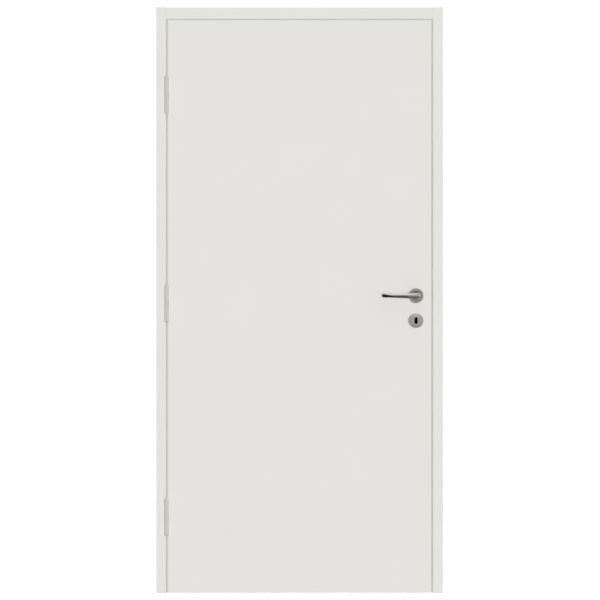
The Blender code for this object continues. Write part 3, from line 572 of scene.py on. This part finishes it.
def round_ended_bar(radius, rise, depth, centre, turned_about):
    """An upright bar with round ends, its flat sides facing x ("Y") or y ("X")."""
    quarter = math.radians(90)
    bpy.ops.object.select_all(action="DESELECT")
    bpy.ops.mesh.primitive_cylinder_add(
        vertices=48,
        radius=radius,
        depth=depth,
        location=centre,
        rotation=(0, quarter, 0) if turned_about == "Y" else (quarter, 0, 0),
    )
    bar = bpy.context.active_object
    bpy.ops.object.transform_apply(location=True, rotation=True)
    bpy.ops.object.mode_set(mode="EDIT")
    bpy.ops.mesh.select_mode(type="VERT")
    for side in (-1, 1):
        bar_mesh = bmesh.from_edit_mesh(bar.data)
        for corner in bar_mesh.verts:
            corner.select_set(side * (corner.co.z - centre[2]) > 0)
        bar_mesh.select_flush_mode()
        bmesh.update_edit_mesh(bar.data)
        bpy.ops.transform.translate(value=(0, 0, side * rise))
    bpy.ops.object.mode_set(mode="OBJECT")
    return bar


latch_band = square_strip(
    "latch_edge_band",
    (leaf_high.x, BAND_FRONT, leaf_low.z),
    (leaf_high.x + BAND_THICKNESS, BAND_BACK, leaf_high.z),
)
forend_low, forend_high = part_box("lock_forend")
forend_middle = (forend_low + forend_high) / 2
cutout_half_width = (forend_high.y - forend_low.y) / 2 + FOREND_JOINT
cutout_rise = (forend_high.z - forend_low.z) / 2 + FOREND_JOINT - cutout_half_width
cutout_place = (leaf_high.x, forend_middle.y, forend_middle.z)
forend_cutter = round_ended_bar(cutout_half_width, cutout_rise, CUTTER_DEPTH, cutout_place, "Y")
cut_or_join(latch_band, forend_cutter)
finish_band(latch_band)

hinge_band = square_strip(
    "hinge_edge_band",
    (leaf_low.x - BAND_THICKNESS, BAND_FRONT, leaf_low.z),
    (leaf_low.x, BAND_BACK, leaf_high.z),
)
for place in ("bottom", "middle", "top"):
    low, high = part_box(f"{place}_hinge_washer")
    height = (low.z + high.z) / 2
    pocket = square_strip(
        "pocket_cutter",
        (leaf_low.x - CUTTER_DEPTH / 2, leaf_low.y - CUTTER_OVERSHOOT, height - POCKET_HALF),
        (leaf_low.x + CUTTER_DEPTH / 2, POCKET_BACK, height + POCKET_HALF),
    )
    bpy.ops.object.mode_set(mode="EDIT")
    bpy.ops.mesh.select_mode(type="EDGE")
    pocket_mesh = bmesh.from_edit_mesh(pocket.data)
    for edge in pocket_mesh.edges:
        ends = [corner.co for corner in edge.verts]
        lies_along_x = abs(ends[0].x - ends[1].x) > 1 * MM
        edge.select_set(lies_along_x and ends[0].y > POCKET_BACK - 1 * MM)
    bmesh.update_edit_mesh(pocket.data)
    bpy.ops.mesh.bevel(offset=POCKET_CORNER, segments=6)
    bpy.ops.object.mode_set(mode="OBJECT")
    cut_or_join(hinge_band, pocket)
finish_band(hinge_band)

top_band = square_strip(
    "top_edge_band",
    (leaf_low.x + EDGE_MARGIN, BAND_FRONT, leaf_high.z),
    (leaf_high.x - EDGE_MARGIN, BAND_BACK, leaf_high.z + BAND_THICKNESS),
)
finish_band(top_band)


# Edge seals
# A soft light grey strip let into the leaf's edges just behind its face, at both sides and the top.
# Its fin closes the gap to the frame, and the strip stops short of each hinge. Its grey is painted shade
# that stands for the shade in that gap.

SEAL_SETBACK = 0.4 * MM
SEAL_WIDTH = 5.0 * MM
SEAL_FRONT = leaf_low.y + EDGE_MARGIN + SEAL_SETBACK
SEAL_BACK = SEAL_FRONT + SEAL_WIDTH
SEAL_BASE = 1.4 * MM
SEAL_EASING = 0.18 * MM
FIN_SHORT_OF_FRAME = 0.3 * MM
FIN_FORWARD = 0.5 * MM
FIN_TAPERS = (0.55, 0.40)
SHORT_OF_HINGE = 60.5 * MM
hinge_jamb_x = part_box("hinge_jamb")[1].x
latch_jamb_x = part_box("latch_jamb")[0].x
head_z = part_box("head_jamb")[0].z

edge_seal_shade_grey = new_finish("edge_seal_shade_grey", 0.60)
edge_seal_shade_grey.node_tree.nodes["Principled BSDF"].inputs["Specular IOR Level"].default_value = 0.3
edge_seal_dust = spread_over(edge_seal_shade_grey, speckle(edge_seal_shade_grey, 700.0, 3.0))
# Painted shade: the seal's grey is set to the tone of the shaded gap between leaf and frame.
coloured(edge_seal_shade_grey, edge_seal_dust, (0.600, 0.606, 0.566), (0.630, 0.636, 0.596))
embossed(edge_seal_shade_grey, speckle(edge_seal_shade_grey, 1600.0), 0.02)


def edge_seal(name, low, high, outwards, reach):
    """A strip of seal on the leaf's edge, whose fin reaches so far outwards from it."""
    made = square_strip(name, low, high)
    bpy.ops.object.mode_set(mode="EDIT")
    bpy.ops.mesh.select_mode(type="FACE")
    select_faces(made, outwards)
    step = Vector(outwards) * (reach - SEAL_BASE) / len(FIN_TAPERS) + Vector((0, -FIN_FORWARD, 0))
    for taper in FIN_TAPERS:
        bpy.ops.mesh.extrude_region_move(TRANSFORM_OT_translate={"value": step})
        bpy.ops.transform.resize(value=(1, taper, 1))
    bpy.ops.object.mode_set(mode="OBJECT")
    ease_edges(made, SEAL_EASING, 2)
    made.data.materials.append(edge_seal_shade_grey)
    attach(made, "leaf")


corner_top = head_z - FIN_SHORT_OF_FRAME
edge_seal(
    "latch_edge_seal",
    (leaf_high.x, SEAL_FRONT, leaf_low.z),
    (leaf_high.x + SEAL_BASE, SEAL_BACK, corner_top),
    (1, 0, 0),
    latch_jamb_x - leaf_high.x - FIN_SHORT_OF_FRAME,
)
edge_seal(
    "top_edge_seal",
    (leaf_low.x, SEAL_FRONT, leaf_high.z),
    (leaf_high.x, SEAL_BACK, leaf_high.z + SEAL_BASE),
    (0, 0, 1),
    corner_top - leaf_high.z,
)
seal_start = leaf_low.z
for place in ("bottom", "middle", "top", "corner"):
    if place == "corner":
        seal_end = corner_top
        next_start = corner_top
    else:
        low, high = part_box(f"{place}_hinge_washer")
        seal_end = (low.z + high.z) / 2 - SHORT_OF_HINGE
        next_start = (low.z + high.z) / 2 + SHORT_OF_HINGE
    edge_seal(
        f"hinge_edge_seal_{place}",
        (leaf_low.x - SEAL_BASE, SEAL_FRONT, seal_start),
        (leaf_low.x, SEAL_BACK, seal_end),
        (-1, 0, 0),
        leaf_low.x - hinge_jamb_x - FIN_SHORT_OF_FRAME,
    )
    seal_start = next_start


# Mortice lock
# A steel case let into the leaf's edge behind a brushed forend with round ends. The latch and the
# dead bolt are nickel plated, and the forend is held by two countersunk screws.

FOREND_SCREW_FROM_END = 15 * MM

finished(plate_steel, "lock_forend", "lock_case")
bolt_nickel = brushed("bolt_nickel", (0.52, 0.51, 0.48), (0.64, 0.63, 0.60), 0.24, (90, 1800, 1800), 0.003)
finished(bolt_nickel, "latch_bolt", "dead_bolt")
follower_zinc = brushed("follower_zinc", (0.38, 0.38, 0.38), (0.50, 0.50, 0.50), 0.42, (1200, 90, 1200))
finished(follower_zinc, "lock_follower", "spindle")

for name, z in (
    ("upper", forend_high.z - FOREND_SCREW_FROM_END),
    ("lower", forend_low.z + FOREND_SCREW_FROM_END),
):
    point = (forend_high.x + SCREW_PROUD, forend_middle.y, z)
    drive_screw(f"forend_screw_{name}", point, 1, 65 - 700 * z, "leaf")


# Roses and levers
# Satin stainless steel, the round roses brushed in rings and the cast levers along their length. The lever
# roses have painted shade round the neck, and the levers have a painted dark reflection below and at the
# tip and painted shade on top of the neck.

STEEL_DARK = (0.74, 0.73, 0.71)
STEEL_LIGHT = (0.80, 0.79, 0.77)
ROSE_ROUGHNESS = 0.30
ROSE_GLOSS_SPREAD = 0.03
# Painted shade: the lever rose is darkened round the lever's neck, a little above its axis.
NECK_SHADE_DARK = (0.05, 0.05, 0.045)
NECK_SHADE_ABOVE_AXIS = 5 * MM
NECK_SHADE_FULL_WITHIN = 10 * MM
NECK_SHADE_LEAST_FROM = 27 * MM
NECK_SHADE_LEAST = 0.10
LEVER_ROSE_NECK_SHADE = 0.66


def ring_brushed(name, centre, neck_shade_share=0.0):
    """Steel brushed in rings round an axis that runs from front to back, with painted shade near the axis
    when given a share.
    """
    made = new_finish(name, ROSE_ROUGHNESS, 1.0)
    tree = made.node_tree
    rings = tree.nodes.new("ShaderNodeTexWave")
    rings.wave_type = "RINGS"
    rings.rings_direction = "Y"
    rings.inputs["Scale"].default_value = 420.0
    rings.inputs["Distortion"].default_value = 3.0
    rings.inputs["Detail"].default_value = 3.0
    rings.inputs["Detail Scale"].default_value = 2.0
    tree.links.new(placed(made, shift=(-centre.x, 0, -centre.z)), rings.inputs["Vector"])
    lines = rings.outputs["Fac"]
    steel = blended(made, lines, STEEL_DARK, STEEL_LIGHT)
    # Painted shade round the neck, darkest near the axis and fading outwards.
    if neck_shade_share:
        flat_way = tree.nodes.new("ShaderNodeVectorMath")
        flat_way.operation = "LENGTH"
        from_middle = placed(made, (1, 0, 1), (-centre.x, 0, -centre.z - NECK_SHADE_ABOVE_AXIS))
        tree.links.new(from_middle, flat_way.inputs[0])
        fade = tree.nodes.new("ShaderNodeMapRange")
        fade.inputs["From Min"].default_value = NECK_SHADE_FULL_WITHIN
        fade.inputs["From Max"].default_value = NECK_SHADE_LEAST_FROM
        fade.inputs["To Min"].default_value = neck_shade_share
        fade.inputs["To Max"].default_value = NECK_SHADE_LEAST
        tree.links.new(flat_way.outputs["Value"], fade.inputs["Value"])
        shade = tree.nodes.new("ShaderNodeMix")
        shade.data_type = "RGBA"
        shade.inputs[7].default_value = (*NECK_SHADE_DARK, 1.0)
        tree.links.new(fade.outputs["Result"], shade.inputs[0])
        tree.links.new(steel, shade.inputs[6])
        steel = shade.outputs[2]
    feed(made, "Base Color", steel)
    dullest = ROSE_ROUGHNESS + ROSE_GLOSS_SPREAD
    glossiest = ROSE_ROUGHNESS - ROSE_GLOSS_SPREAD
    feed(made, "Roughness", spread_over(made, lines, dullest, glossiest))
    embossed(made, lines, 0.002)
    return made


lever_rose_low, lever_rose_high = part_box("front_lever_rose")
key_rose_low, key_rose_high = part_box("front_key_rose")
lever_centre = (lever_rose_low + lever_rose_high) / 2
key_centre = (key_rose_low + key_rose_high) / 2
lever_rose_steel = ring_brushed("lever_rose_steel", lever_centre, LEVER_ROSE_NECK_SHADE)
key_rose_steel = ring_brushed("key_rose_steel", key_centre)
finished(lever_rose_steel, "front_lever_rose", "back_lever_rose")
finished(key_rose_steel, "front_key_rose", "back_key_rose")

# The lever's painted reflection, dark below and at the tip, and its painted shade on top of the neck come
# in between these distances from the neck's axis along the grip, and between these heights over that axis.
TIP_STARTS = 84 * MM
TIP_FULL = 120 * MM
NECK_STARTS = 44 * MM
NECK_FULL = 28 * MM
TIP_LIFT = 6.0 * MM
NECK_DROP = 2.0 * MM
NECK_LIGHTER = 0.20
BELOW_STARTS = 1.0 * MM
BELOW_FULL = -3.5 * MM
ABOVE_STARTS = 5.0 * MM
ABOVE_FULL = 8.5 * MM
ABOVE_MOST = 0.8

# Painted reflection: near-black colours for the dark room that the underside and the tip would mirror.
UNDERSIDE_DARK = (0.088, 0.086, 0.079)
TIP_DARK = (0.012, 0.012, 0.011)
lever_steel = new_finish("lever_steel", 0.24, 1.0)
lever_tree = lever_steel.node_tree
lever_lines = speckle(lever_steel, 1.0, 4.0, (45, 1600, 1600))
lever_bright = blended(lever_steel, spread_over(lever_steel, lever_lines), STEEL_DARK, STEEL_LIGHT)
lever_place = lever_tree.nodes.new("ShaderNodeSeparateXYZ")
lever_tree.links.new(placed(lever_steel), lever_place.inputs["Vector"])


def lever_fade(value, near, far, most=1.0):
    """A share that runs from 0 where the value is near to the most where it is far."""
    fade = lever_tree.nodes.new("ShaderNodeMapRange")
    fade.inputs["From Min"].default_value = near
    fade.inputs["From Max"].default_value = far
    fade.inputs["To Max"].default_value = most
    lever_tree.links.new(value, fade.inputs["Value"])
    return fade.outputs["Result"]


def lever_maths(kind, first, second):
    """Two values put together by one kind of arithmetic."""
    result = lever_tree.nodes.new("ShaderNodeMath")
    result.operation = kind
    lever_tree.links.new(first, result.inputs[0])
    lever_tree.links.new(second, result.inputs[1])
    return result.outputs["Value"]


lever_x = lever_place.outputs["X"]
lever_z = lever_place.outputs["Z"]
axis_x = lever_centre.x
axis_z = lever_centre.z
near_tip = lever_fade(lever_x, axis_x - TIP_STARTS, axis_x - TIP_FULL)
near_neck = lever_fade(lever_x, axis_x - NECK_STARTS, axis_x - NECK_FULL)
tip_lift = lever_fade(near_tip, 0.0, 1.0, TIP_LIFT)
neck_drop = lever_fade(near_neck, 0.0, 1.0, NECK_DROP)
lifted_z = lever_maths("ADD", lever_maths("SUBTRACT", lever_z, tip_lift), neck_drop)
dark_along = lever_fade(lifted_z, axis_z + BELOW_STARTS, axis_z + BELOW_FULL)
neck_lighter = lever_maths("MULTIPLY", dark_along, lever_fade(near_neck, 0.0, 1.0, NECK_LIGHTER))
dark_below = lever_maths("SUBTRACT", dark_along, neck_lighter)
# Painted shade on top of the neck, close to the rose.
dark_above = lever_fade(lever_z, axis_z + ABOVE_STARTS, axis_z + ABOVE_FULL, ABOVE_MOST)
dark_share = lever_maths("MAXIMUM", dark_below, lever_maths("MULTIPLY", dark_above, near_neck))
lever_dark = blended(lever_steel, near_tip, UNDERSIDE_DARK, TIP_DARK)
# The bright steel gives way to the painted reflection and shade.
lever_painted_dark = lever_tree.nodes.new("ShaderNodeMix")
lever_painted_dark.data_type = "RGBA"
lever_tree.links.new(dark_share, lever_painted_dark.inputs[0])
lever_tree.links.new(lever_bright, lever_painted_dark.inputs[6])
lever_tree.links.new(lever_dark, lever_painted_dark.inputs[7])
feed(lever_steel, "Base Color", lever_painted_dark.outputs[2])
feed(lever_steel, "Roughness", spread_over(lever_steel, lever_lines, 0.30, 0.19))
embossed(lever_steel, lever_lines, 0.002)
finished(lever_steel, "front_lever", "back_lever")


# Keyhole liner
# A moulded tube of black plastic with round ends, pushed through the leaf in the keyhole; its black is
# painted shade that stands for the dark inside of the keyhole. A thin lip lies on each key rose.

KEYHOLE_RADIUS = 4.75 * MM
KEYHOLE_RISE = 6.25 * MM
LINER_PLAY = 0.1 * MM
LINER_WALL = 0.5 * MM
LIP_WIDTH = 1.0 * MM
LIP_THICKNESS = 0.4 * MM
LIP_JOINT = 0.02 * MM

# Painted shade: the liner's near-black gives the keyhole its dark.
liner_shade_black = new_finish("liner_shade_black", 0.8)
liner_shade_black.node_tree.nodes["Principled BSDF"].inputs["Specular IOR Level"].default_value = 0.1
liner_grain = spread_over(liner_shade_black, speckle(liner_shade_black, 1400.0, 3.0))
coloured(liner_shade_black, liner_grain, (0.002, 0.002, 0.002), (0.006, 0.006, 0.006))
embossed(liner_shade_black, liner_grain, 0.01)

rose_faces = ((key_rose_low.y, -1), (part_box("back_key_rose")[1].y, 1))
liner_middle = (rose_faces[0][0] + rose_faces[1][0]) / 2
liner_length = rose_faces[1][0] - rose_faces[0][0] + LIP_THICKNESS
liner_place = (key_centre.x, liner_middle, key_centre.z)
keyhole_liner = round_ended_bar(
    KEYHOLE_RADIUS - LINER_PLAY, KEYHOLE_RISE, liner_length, liner_place, "X"
)
keyhole_liner.name = "keyhole_liner"
for face, outwards in rose_faces:
    lip_place = (key_centre.x, face + outwards * (LIP_THICKNESS / 2 + LIP_JOINT), key_centre.z)
    lip = round_ended_bar(KEYHOLE_RADIUS + LIP_WIDTH, KEYHOLE_RISE, LIP_THICKNESS, lip_place, "X")
    cut_or_join(keyhole_liner, lip, "UNION")
keyhole_bore = round_ended_bar(
    KEYHOLE_RADIUS - LINER_WALL, KEYHOLE_RISE, 2 * liner_length, liner_place, "X"
)
cut_or_join(keyhole_liner, keyhole_bore)
keyhole_liner.data.materials.append(liner_shade_black)
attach(keyhole_liner, "leaf")


# Grub screws
# A headless plated screw with a hexagon socket under each lever's neck. It clamps the lever to the
# spindle, and turns with it.

GRUB_RADIUS = 2.5 * MM
GRUB_LENGTH = 3.0 * MM
GRUB_CHAMFER = 0.3 * MM
GRUB_PROUD = 0.05 * MM
GRUB_FROM_LEAF = 14.5 * MM
SOCKET_RADIUS = 1.45 * MM
SOCKET_DEPTH = 1.6 * MM


def grub_screw(name, point):
    """A headless screw with a hexagon socket, whose end looks straight down at a point."""
    bpy.ops.object.select_all(action="DESELECT")
    bpy.ops.mesh.primitive_cylinder_add(
        vertices=24,
        radius=GRUB_RADIUS,
        depth=GRUB_LENGTH,
        location=point + Vector((0, 0, GRUB_LENGTH / 2)),
    )
    grub = bpy.context.active_object
    grub.name = name
    bpy.ops.object.transform_apply(location=True)
    bpy.ops.object.mode_set(mode="EDIT")
    bpy.ops.mesh.select_mode(type="FACE")
    select_faces(grub, DOWN)
    bpy.ops.mesh.bevel(offset=GRUB_CHAMFER, segments=2)
    bpy.ops.object.mode_set(mode="OBJECT")
    bpy.ops.object.select_all(action="DESELECT")
    bpy.ops.mesh.primitive_cylinder_add(
        vertices=6, radius=SOCKET_RADIUS, depth=2 * SOCKET_DEPTH, location=point
    )
    socket = bpy.context.active_object
    bpy.ops.object.transform_apply(location=True)
    cut_or_join(grub, socket)
    grub.data.materials.append(screw_plating)
    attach(grub, "lever_set")


neck_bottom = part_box("front_lever")[0].z - GRUB_PROUD
for name, y in (("front", leaf_low.y - GRUB_FROM_LEAF), ("back", back_high.y + GRUB_FROM_LEAF)):
    grub_screw(f"{name}_grub_screw", Vector((lever_centre.x, y, neck_bottom)))


# The screw that the others were copied from goes first.

bpy.data.objects.remove(screw_master)
